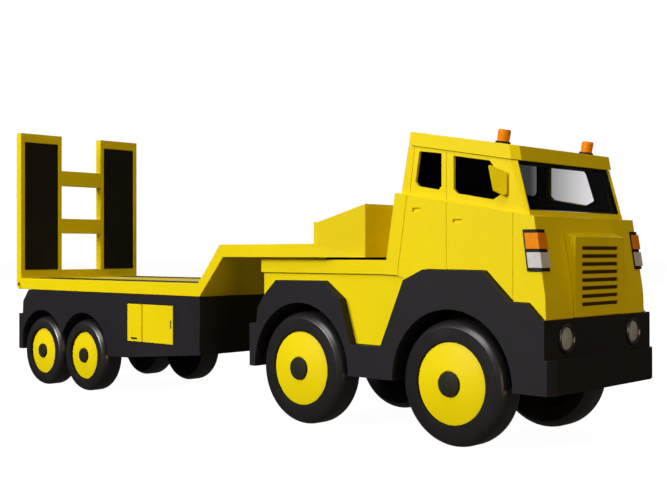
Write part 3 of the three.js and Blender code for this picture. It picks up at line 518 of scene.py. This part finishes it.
def turned(name, profile, centre, axis, segments=96):
    """A closed profile of (radius, height) points in millimetres, spun about an axis: each point goes to
    centre + height along the axis + radius times (cosine, sine) of the angle across it."""
    axis = np.asarray(axis, float) / np.linalg.norm(axis)
    across = np.cross(axis, (0, 0, 1.0)) if abs(axis[2]) < 0.9 else np.cross(axis, (0, 1.0, 0))
    across /= np.linalg.norm(across)
    third = np.cross(axis, across)
    r, h = np.asarray(profile, float).T
    angle = np.linspace(0, 2 * np.pi, segments, endpoint=False)
    spokes = np.cos(angle)[:, None] * across + np.sin(angle)[:, None] * third
    points = np.asarray(centre, float) + h[None, :, None] * axis + r[None, :, None] * spokes[:, None, :]
    count = len(r)
    i = np.arange(segments)[:, None] * count
    i_next = np.roll(np.arange(segments), -1)[:, None] * count
    j = np.arange(count)
    j_next = np.roll(j, -1)
    faces = np.stack([i + j, i + j_next, i_next + j_next, i_next + j], -1).reshape(-1, 4)
    return mesh_piece(name, points.reshape(-1, 3) * MM, faces)


def fillet(profile, corner_radii, steps=5):
    """Rounds the corners of a closed profile. Each arc starts and ends where its circle touches the two edges, and
    its points are the centre plus a blend of the two end spokes: spoke one times the sine of the angle left to
    go, plus spoke two times the sine of the angle gone, over the sine of the whole angle."""
    points = np.asarray(profile, float)
    made = []
    for i, radius in enumerate(corner_radii):
        here, before, after = points[i], points[i - 1], points[(i + 1) % len(points)]
        if radius <= 0:
            made.append(here[None])
            continue
        to_before, to_after = before - here, after - here
        to_before /= np.linalg.norm(to_before)
        to_after /= np.linalg.norm(to_after)
        half = math.acos(np.clip(to_before @ to_after, -1, 1)) / 2
        start, end = here + to_before * radius / math.tan(half), here + to_after * radius / math.tan(half)
        middle = here + (to_before + to_after) / np.linalg.norm(to_before + to_after) * radius / math.sin(half)
        s, t = start - middle, end - middle
        sweep = math.acos(np.clip(s @ t / radius ** 2, -1, 1))
        k = np.linspace(0, 1, steps + 1)[:, None]
        made.append(middle + (np.sin((1 - k) * sweep) * s + np.sin(k * sweep) * t) / math.sin(sweep))
    return np.concatenate(made)


print("a square with 1 mm corners has", len(fillet([(0, 0), (9, 0), (9, 9), (0, 9)], [1] * 4)), "points")

# %% [markdown]
# ## Tyres
#
# A tyre here is one black moulding: a smooth tread, a round shoulder, a flat sidewall, and a web inside that
# reaches in to the axle. Where the shoulder meets the sidewall there is a faint crease, because the arc stops
# before it is level with the wall. The crease is what makes the highlight end so cleanly. Each size is read off
# the frame, so one recipe serves the large and the small wheels.

# %% Tyre profile
AXLE_BORE, RIM_GAP, WEB_SET_BACK, WEB_THICK = 3.4, 0.3, 3, 2.2
SHOULDER_SHARE, SHOULDER_STEEP, SHOULDER_FLAT = 0.12, 86, 28
SIDES = {"right": -1.0, "left": 1.0}


def box_mm(node):
    """Lowest and highest corner of a frame node, in millimetres."""
    low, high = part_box(node)
    return np.array(low) / MM, np.array(high) / MM


def wheel_sizes(name):
    """Radii and face positions of one wheel, read off the frame's boxes, in millimetres."""
    tyre_low, tyre_high = box_mm(f"{name}_tyre_left")
    rim_low, rim_high = box_mm(f"{name}_rim_left")
    cap_low, cap_high = box_mm(f"{name}_axle")
    return {
        "centre": np.array([(tyre_low[0] + tyre_high[0]) / 2, 0, (tyre_low[2] + tyre_high[2]) / 2]),
        "radius": (tyre_high[2] - tyre_low[2]) / 2, "inner": tyre_low[1], "outer": tyre_high[1],
        "rim": (rim_high[2] - rim_low[2]) / 2, "rim_back": rim_low[1], "hub_face": rim_high[1],
        "cap": (cap_high[2] - cap_low[2]) / 2, "cap_face": cap_high[1],
    }


def shoulder_arc(radius, face, way, steps=14):
    """Part of a circle from the tread to the sidewall. Its normal swings from steep to flat off the axle, and its
    size is set so that it takes the shoulder's share of the wheel's radius."""
    swing = np.radians(np.linspace(SHOULDER_STEEP, SHOULDER_FLAT, steps + 1))
    size = SHOULDER_SHARE * radius / (np.sin(swing[0]) - np.sin(swing[-1]))
    return np.stack([radius - size * (np.sin(swing[0]) - np.sin(swing)),
                     face - way * size * (np.cos(swing[-1]) - np.cos(swing))], -1)


def tyre_profile(w):
    """Half section of the black wheel body: web, inner wall, two shoulders with the tread between, outer wall."""
    bore, near, far = w["rim"] + RIM_GAP, w["inner"], w["outer"]
    web = near + WEB_SET_BACK
    return np.concatenate([
        [(AXLE_BORE, web), (bore - 3, web), (bore, near)],
        shoulder_arc(w["radius"], near, -1)[::-1], shoulder_arc(w["radius"], far, 1),
        [(bore + 0.4, far), (bore, far - 0.4), (bore, web + WEB_THICK), (AXLE_BORE, web + WEB_THICK)]])


print("a front tyre's half section has", len(tyre_profile(wheel_sizes("front"))), "points")

# %% [markdown]
# ## Rims and axles
#
# The rim is a yellow disc that rises a little towards the hub, like a very flat cone, with a rolled edge where
# it meets the tyre. It could be cut as a plain disc, but the cone is what gives it its soft change of tone. The
# axle is a rod with a flat round cap pressed on at each end.
#
# Each tyre also gets an attribute that says where it is polished, for the coat in its material.

# %% Rims and axles
CONE_SLOPE = 2.1 / 26.1
RIM_SKIN, RIM_WALL = 2.2, 2.6
CAP_DEPTH, CAP_CHAMFER, CAP_ROUND, AXLE_RADIUS = 1.4, 0.45, 0.13, 3.0
POLISHED_FROM, POLISH_BLEND = 0.885, 0.01    # shares of the tyre's radius


def rim_profile(w):
    """Half section of the rim: boss, coned disc with a rolled edge, and a small well for the cap."""
    r, back, face, cap = w["rim"], w["rim_back"], w["hub_face"], w["cap"]
    edge = face - CONE_SLOPE * r
    points = [(AXLE_BORE, back), (cap - 1, back), (cap - 1, face - RIM_SKIN), (r - RIM_WALL, edge - RIM_SKIN),
              (r - RIM_WALL, back), (r, back), (r, edge), (cap + 1.2, face), (cap + 0.3, face),
              (cap + 0.3, face - 0.6), (AXLE_BORE, face - 0.6)]
    return fillet(points, [0, 0, 0.6, 0.6, 0, 0.3, 0.45, 0.5, 0.15, 0, 0], 4)


def axle_profile(w):
    """Half section of the axle and its two flat caps: one half as points, and the same points mirrored."""
    face, cap = w["cap_face"], w["cap"]
    half = np.array([(0, face), (cap - CAP_CHAMFER, face), (cap - CAP_ROUND, face - CAP_ROUND),
                     (cap, face - CAP_CHAMFER), (cap, face - CAP_DEPTH), (AXLE_RADIUS, face - CAP_DEPTH)])
    return np.concatenate([half * (1, -1), half[::-1]])


def add_polish(piece, w):
    """Writes how polished each vertex of a tyre is: 0 on the sidewall, 1 beyond a share of its radius."""
    points = np.empty(len(piece.data.vertices) * 3)
    piece.data.vertices.foreach_get("co", points)
    x, _, z = points.reshape(-1, 3).T
    radius = np.hypot(x - w["centre"][0] * MM, z - w["centre"][2] * MM) / (w["radius"] * MM)
    polish = np.clip((radius - POLISHED_FROM) / POLISH_BLEND, 0, 1)
    piece.data.attributes.new("polish", "FLOAT", "POINT").data.foreach_set("value", polish)
    return piece


for name in ("front", "rear", "trailer_front", "trailer_rear"):
    body, w = f"{name}_wheels", wheel_sizes(name)
    axle = turned(f"{name}_axle_turned", axle_profile(w), w["centre"], (0, 1, 0), 64)
    finish_piece(axle, body, "axle_cap", (f"{name}_axle",))
    for label, side in SIDES.items():
        tyre = turned(f"{name}_tyre_{label}_turned", tyre_profile(w), w["centre"], (0, side, 0), 128)
        finish_piece(add_polish(tyre, w), body, "tyre", (f"{name}_tyre_{label}",))
        rim = turned(f"{name}_rim_{label}_turned", rim_profile(w), w["centre"], (0, side, 0), 96)
        finish_piece(rim, body, "yellow_plastic", (f"{name}_rim_{label}",))
    print(name, "wheels are", round(2 * w["radius"], 1), "mm across")

# %% [markdown]
# ## Fog lamps
#
# A round lamp sits in each end of the bumper: a glossy black ring with a rolled edge, round a grey lens that
# bulges a little. Both are turned about the X axis. The bulge is a parabola, which for such a shallow lens looks
# the same as part of a sphere and is shorter to write.

# %% Fog lamps
BULGE, LENS_SET_BACK = 0.7, 0.5
BULGE_STEPS = np.linspace(1, 0, 9)

for label in SIDES:
    ring_low, ring_high = box_mm(f"fog_ring_{label}")
    lens_low, lens_high = box_mm(f"fog_lamp_{label}")
    centre = (ring_low + ring_high) / 2 * (0, 1, 1)
    ring_r, lens_r = (ring_high[2] - ring_low[2]) / 2, (lens_high[2] - lens_low[2]) / 2
    rear, front = ring_low[0], ring_high[0]
    ring_points = [(lens_r + 0.1, rear), (ring_r, rear), (ring_r, front - 0.7), (ring_r - 0.8, front),
                   (lens_r + 1.1, front), (lens_r + 0.1, front - 0.9)]
    ring = turned(f"fog_ring_{label}_turned", fillet(ring_points, [0, 0, 0.5, 0.5, 0.4, 0.3]), centre, (1, 0, 0))
    finish_piece(ring, "tractor", "black_plastic", (f"fog_ring_{label}",))
    ring.data.materials[0] = GLOSS_BLACK
    crown = np.stack([lens_r * BULGE_STEPS, front - LENS_SET_BACK - BULGE * BULGE_STEPS ** 2], -1)
    lens_points = np.concatenate([[(lens_r, rear)], crown, [(0, rear)]])
    lens = turned(f"fog_lens_{label}", lens_points, centre, (1, 0, 0), 64)
    finish_piece(lens, "tractor", "clear_lens", (f"fog_lamp_{label}",))
    lens.data.materials[0] = FOG_LENS
print("fog lamps are", round(2 * ring_r, 1), "mm across")

# %% [markdown]
# ## Beacons
#
# Two orange beacons stand on the roof. They lean with its slope, so they are turned about the roof's normal. A
# beacon is a short drum that widens a little, then draws in to a softly rounded top, on a thin dark washer. The
# top could be a separate cap, but on the real one drum and top are one moulding, so one profile makes both.

# %% Beacons
ROOF_SLOPE = 0.1772
BEACON_HEIGHT, BEACON_DOME, WASHER_RADIUS, FOOT_DROP = 8.6, 0.3, 4.75, 0.75
roof_normal = np.array([ROOF_SLOPE, 0, 1.0]) / math.hypot(ROOF_SLOPE, 1)
washer = [(0, -0.5), (WASHER_RADIUS, -0.5), (WASHER_RADIUS, 0.8), (WASHER_RADIUS - 0.55, 1.2), (0, 1.2)]

for label in SIDES:
    base_low, base_high = box_mm(f"beacon_base_{label}")
    lens_low, lens_high = box_mm(f"beacon_lens_{label}")
    foot = (base_low + base_high) / 2 - roof_normal * FOOT_DROP
    radius = (lens_high[1] - lens_low[1]) / 2
    base = turned(f"beacon_washer_{label}", fillet(washer, [0, 0, 0.2, 0.2, 0], 3), foot, roof_normal, 64)
    finish_piece(base, "tractor", "black_plastic", (f"beacon_base_{label}",))
    drum = [(0, 1.1), (radius * 0.98, 1.1), (radius * 1.03, BEACON_HEIGHT * 0.85),
            (radius * 0.92, BEACON_HEIGHT), (0, BEACON_HEIGHT + BEACON_DOME)]
    lens = turned(f"beacon_drum_{label}", fillet(drum, [0, 0.2, 2.0, 0.9, 0], 6), foot, roof_normal, 96)
    finish_piece(lens, "tractor", "orange_lens", (f"beacon_lens_{label}",))
print("the beacons reach", round(float(lens_high[2]), 1), "mm above the ground")

# %% [markdown]
# ## Roof seal
#
# The roof is a separate moulding that snaps on to the cab. A thin black seal lies in the joint, so no light
# shows through it. Its outline is the top of the cab walls, half a millimetre in, and it follows the slope of
# the roof. It could be a bevelled curve, but a band with square edges fits the flat joint better.

# %% Roof seal
SEAL_PLAN = np.array([(184.6, 57.0), (260.4, 57.0), (264.4, 55.2), (264.4, -55.2), (260.4, -57.0), (184.6, -57.0)])
SEAL_THICK, SEAL_INWARD = 1.4, 0.93
ROOF_REAR, ROOF_REAR_HEIGHT, SEAL_DROP = 183.4, 192.5, 0.9


def flat_ring(name, outline, thick, inward):
    """A closed band: the outline's points at two heights, and the same points pulled towards the middle by a share
    of their distance, joined round by quads."""
    outer = np.asarray(outline, float)
    middle = outer.mean(axis=0)
    inner = middle + (outer - middle) * inward
    up = np.array([0, 0, thick])
    rings = np.stack([outer, outer + up, inner + up, inner], 1)
    n = len(outer)
    i = np.arange(n)[:, None] * 4
    i_next = np.roll(np.arange(n), -1)[:, None] * 4
    j = np.arange(4)
    faces = np.stack([i + j, i_next + j, i_next + (j + 1) % 4, i + (j + 1) % 4], -1).reshape(-1, 4)
    return mesh_piece(name, rings.reshape(-1, 3) * MM, faces, smooth=False)


seal_height = ROOF_REAR_HEIGHT - ROOF_SLOPE * (SEAL_PLAN[:, 0] - ROOF_REAR) - SEAL_DROP
seal = flat_ring("roof_seal", np.column_stack([SEAL_PLAN, seal_height]), SEAL_THICK, SEAL_INWARD)
finish_piece(seal, "tractor", "interior_plastic")
print("the seal has", len(seal.data.polygons), "faces")

# %% [markdown]
# ## Windscreen lining
#
# Behind the windscreen, black strips line the cab's pillars, sill and header, as the black border of a real
# screen does. Without them the yellow edges of the opening would show through the glass. Each strip is a small
# slab: a four-sided outline in the side view, pushed across the truck from one distance to another.

# %% Windscreen lining
PILLAR = [(259.6, 177.0), (263.7, 177.0), (272.2, 148.2), (267.6, 148.2)]
SILL = [(263.8, 147.75), (263.8, 148.6), (271.9, 148.6), (272.1, 147.75)]
HEADER = [(255.0, 176.6), (255.0, 178.6), (263.3, 177.4), (263.6, 176.2)]
PILLAR_FROM, PILLAR_TO, STRIP_HALF, SLAB_EDGE = 53.7, 55.2, 54.2, 0.1


def slab(corners, near, far):
    """Points and faces of a slab: the outline's four corners at one distance across, then at the other."""
    x, z = np.tile(np.asarray(corners, float), (2, 1)).T
    points = np.stack([x, np.repeat([near, far], 4), z], -1)
    faces = np.array([(0, 1, 2, 3), (7, 6, 5, 4), (0, 4, 5, 1), (1, 5, 6, 2), (2, 6, 7, 3), (3, 7, 4, 0)])
    return points, faces


def slabs(name, parts):
    """Joins slabs into one piece, and rounds their edges by a tenth of a millimetre."""
    points = np.concatenate([p for p, _ in parts]) * MM
    faces = np.concatenate([f + 8 * i for i, (_, f) in enumerate(parts)])
    piece = mesh_piece(name, points, faces, smooth=False)
    edge = piece.modifiers.new("edges", "BEVEL")
    edge.width, edge.segments = SLAB_EDGE * MM, 2
    return piece


lining = slabs("windscreen_lining", [
    slab(PILLAR, PILLAR_FROM, PILLAR_TO), slab(PILLAR, -PILLAR_TO, -PILLAR_FROM),
    slab(SILL, -STRIP_HALF, STRIP_HALF), slab(HEADER, -STRIP_HALF, STRIP_HALF)])
finish_piece(lining, "tractor", "interior_plastic")
print("lined the windscreen with 4 strips")

# %% [markdown]
# ## Painted shade in the finger slots
#
# Each locker panel has a small slot for a finger. The slot is in the frame already. A black slab set into it
# is painted shade: it makes the slot read as a dark recess from any side, where the bare yellow slot would almost
# vanish. The door's slab stands upright near its free edge, and the flap's lies flat along its foot. They ride on
# the panels, so they swing with them.

# %% Painted shade in the finger slots
SLOT_SHADE_WIDTH, SLOT_SHADE_SUNK, SLOT_SHADE_DEEP = 1.4, 0.15, 0.95
DOOR_SLOT_SHADE_INSET, DOOR_SLOT_SHADE_SPAN = 1.95, (0.41, 0.61)
FLAP_SLOT_SHADE_INSET, FLAP_SLOT_SHADE_RISE, FLAP_SLOT_SHADE_LONG = 5.1, 1.7, 8.3


def slot_shade_slab(name, lower, upper, side, face):
    """A black slab of painted shade between two corners in the side view, sunk just under the panel's face."""
    (x0, z0), (x1, z1) = lower, upper
    return slabs(name, [slab([(x0, z0), (x0, z1), (x1, z1), (x1, z0)],
                             side * (face - SLOT_SHADE_DEEP), side * (face - SLOT_SHADE_SUNK))])


# Painted shade: each finger slot gets a black slab, so that it reads as a dark recess.
for label, side in SIDES.items():
    door_low, door_high = box_mm(f"locker_door_{label}")
    flap_low, _ = box_mm(f"locker_flap_{label}")
    face = max(abs(door_low[1]), abs(door_high[1]))
    ahead = door_high[0] - DOOR_SLOT_SHADE_INSET
    low, high = (door_low[2] + share * (door_high[2] - door_low[2]) for share in DOOR_SLOT_SHADE_SPAN)
    shade_slab = slot_shade_slab(f"locker_door_slot_shade_{label}", (ahead - SLOT_SHADE_WIDTH, low), (ahead, high), side, face)
    finish_piece(shade_slab, f"locker_door_{label}", "black_plastic")
    left, foot = flap_low[0] + FLAP_SLOT_SHADE_INSET, flap_low[2] + FLAP_SLOT_SHADE_RISE
    shade_slab = slot_shade_slab(f"locker_flap_slot_shade_{label}", (left, foot), (left + FLAP_SLOT_SHADE_LONG, foot + SLOT_SHADE_WIDTH),
                       side, face)
    finish_piece(shade_slab, f"locker_flap_{label}", "black_plastic")
# The 4 pieces counted here are the black slabs of painted shade in the finger slots.
print("set 4 finger pulls, each", SLOT_SHADE_WIDTH, "mm wide")
